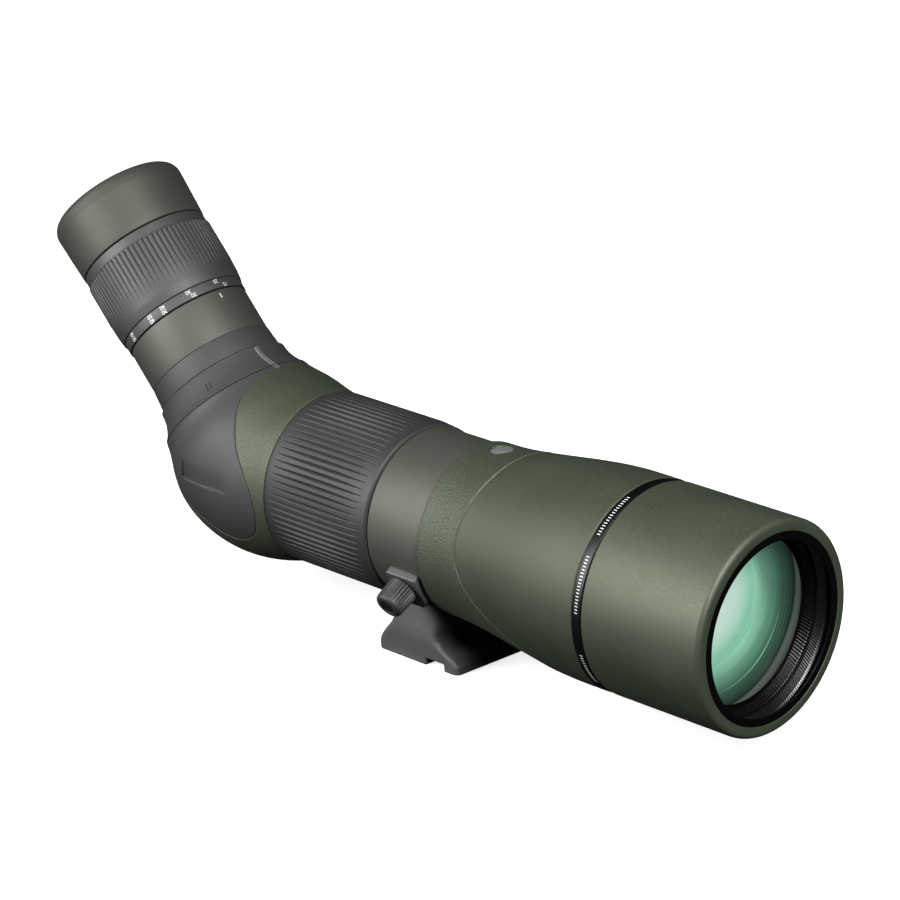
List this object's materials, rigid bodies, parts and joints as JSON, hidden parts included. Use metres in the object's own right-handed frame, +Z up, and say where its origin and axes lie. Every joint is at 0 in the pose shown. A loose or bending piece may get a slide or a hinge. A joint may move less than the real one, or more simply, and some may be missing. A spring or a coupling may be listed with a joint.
{
  "type": "spotting scope",
  "caption": "Angled spotting scope with a rotating tripod collar, wide fluted focus ring, sliding sunshade, zoom eyepiece and twist-up eyecup.",
  "frame": {"origin": "centre of the tripod socket's mouth, on the flat base of the foot", "axes": "+Z up, away from the tripod; the objective looks along -Y; the collar's lock knob is on the -X side"},
  "size_m": [0.0815, 0.3622, 0.1567],
  "materials": {
    "green_metal": "satin",
    "green_rubber": "matte",
    "olive_metal": "satin",
    "olive_rubber": "matte",
    "charcoal_metal": "satin",
    "charcoal_rubber": "matte",
    "gloss_black": "gloss",
    "black_plastic": "matte",
    "black_metal": "matte",
    "steel": "satin",
    "brass": "satin",
    "nylon": "matte",
    "seal_rubber": "matte",
    "lens_glass": "polished"
  },
  "bodies": {
    "tripod_collar": {"collar_ring": "olive_metal", "tripod_foot": "charcoal_metal", "foot_screws": "steel", "thread_bush": "steel"},
    "lock_knob": {"lock_knob": "charcoal_metal", "lock_screw": "steel", "brake_pad": "nylon"},
    "scope_body": {"main_tube": "black_metal", "focus_seals": "seal_rubber", "objective_barrel": "green_metal", "barrel_armour": "green_rubber", "trim_ring": "gloss_black", "objective_cell": "black_metal", "objective_seal": "seal_rubber", "front_lens": "lens_glass", "middle_lens": "lens_glass", "rear_lens": "lens_glass", "lens_spacer": "black_metal", "lens_retaining_ring": "black_metal", "shade_glide_band": "nylon", "prism_housing": "black_metal", "housing_armour": "green_rubber", "prism_cover": "charcoal_rubber", "prism_plate": "black_metal", "roof_prism": "lens_glass", "prism_strap": "steel", "strap_screws": "steel", "bayonet_socket": "black_metal", "eyepiece_base_ring": "charcoal_metal", "eyepiece_barrel": "olive_metal", "eyepiece_tube": "black_metal", "field_lens": "lens_glass", "field_stop": "black_metal", "eye_lens_cell": "black_metal", "eye_lens": "lens_glass"},
    "focus_ring": {"focus_ring": "charcoal_rubber", "focus_cam_sleeve": "brass"},
    "focus_cell": {"focus_cell": "black_metal", "focus_lens": "lens_glass"},
    "sunshade": {"sunshade": "green_metal", "shade_liner": "black_plastic"},
    "eyepiece_lock": {"lock_ring": "charcoal_metal", "lock_index_bar": "charcoal_metal"},
    "zoom_ring": {"zoom_grip": "charcoal_rubber", "zoom_scale_ring": "charcoal_metal", "zoom_cam_sleeve": "brass"},
    "zoom_front_cell": {"zoom_front_cell": "black_metal", "zoom_front_lens": "lens_glass"},
    "zoom_rear_cell": {"zoom_rear_cell": "black_metal", "zoom_rear_lens": "lens_glass"},
    "eyecup_guide": {"eyecup_click_ring": "steel"},
    "eyecup": {"eyecup": "olive_rubber", "eyecup_sleeve": "black_metal"}
  },
  "joints": [
    {"name": "collar_turn", "type": "hinge", "parent": "tripod_collar", "child": "scope_body", "pos_m": [0, 0, 0.052], "axis": [0, 1, 0], "continuous": true},
    {"name": "lock_knob_turn", "type": "hinge", "parent": "tripod_collar", "child": "lock_knob", "pos_m": [0, -0.0078, 0.052], "axis": [-0.8572, 0, -0.515], "range_deg": [0, 112.5]},
    {"name": "focus_turn", "type": "hinge", "parent": "scope_body", "child": "focus_ring", "pos_m": [0, 0.0975, 0.052], "axis": [0, -1, 0], "range_deg": [-135, 135]},
    {"name": "focus_slide", "type": "slide", "parent": "scope_body", "child": "focus_cell", "axis": [0, -1, 0], "range_m": [-0.006, 0.006]},
    {"name": "sunshade_slide", "type": "slide", "parent": "scope_body", "child": "sunshade", "axis": [0, -1, 0], "range_m": [0, 0.032]},
    {"name": "eyepiece_lock_turn", "type": "hinge", "parent": "scope_body", "child": "eyepiece_lock", "pos_m": [0, 0.0975, 0.052], "axis": [0, 0.7071, 0.7071], "range_deg": [0, 51]},
    {"name": "zoom_turn", "type": "hinge", "parent": "scope_body", "child": "zoom_ring", "pos_m": [0, 0.0975, 0.052], "axis": [0, 0.7071, 0.7071], "range_deg": [-55, 55]},
    {"name": "zoom_front_slide", "type": "slide", "parent": "scope_body", "child": "zoom_front_cell", "axis": [0, 0.7071, 0.7071], "range_m": [-0.003, 0.003]},
    {"name": "zoom_rear_slide", "type": "slide", "parent": "scope_body", "child": "zoom_rear_cell", "axis": [0, 0.7071, 0.7071], "range_m": [-0.003, 0.003]},
    {"name": "eyecup_rise", "type": "slide", "parent": "scope_body", "child": "eyecup_guide", "axis": [0, 0.7071, 0.7071], "range_m": [0, 0.009]},
    {"name": "eyecup_turn", "type": "hinge", "parent": "eyecup_guide", "child": "eyecup", "pos_m": [0, 0.0975, 0.052], "axis": [0, 0.7071, 0.7071], "range_deg": [0, 270]}
  ],
  "couplings": [
    {"joint": "focus_slide", "follows": "focus_turn", "m_per_rad": 0.002546},
    {"joint": "zoom_front_slide", "follows": "zoom_turn", "m_per_rad": 0.003125},
    {"joint": "zoom_rear_slide", "follows": "zoom_turn", "m_per_rad": -0.003125},
    {"joint": "eyecup_rise", "follows": "eyecup_turn", "m_per_rad": 0.0019098}
  ]
}
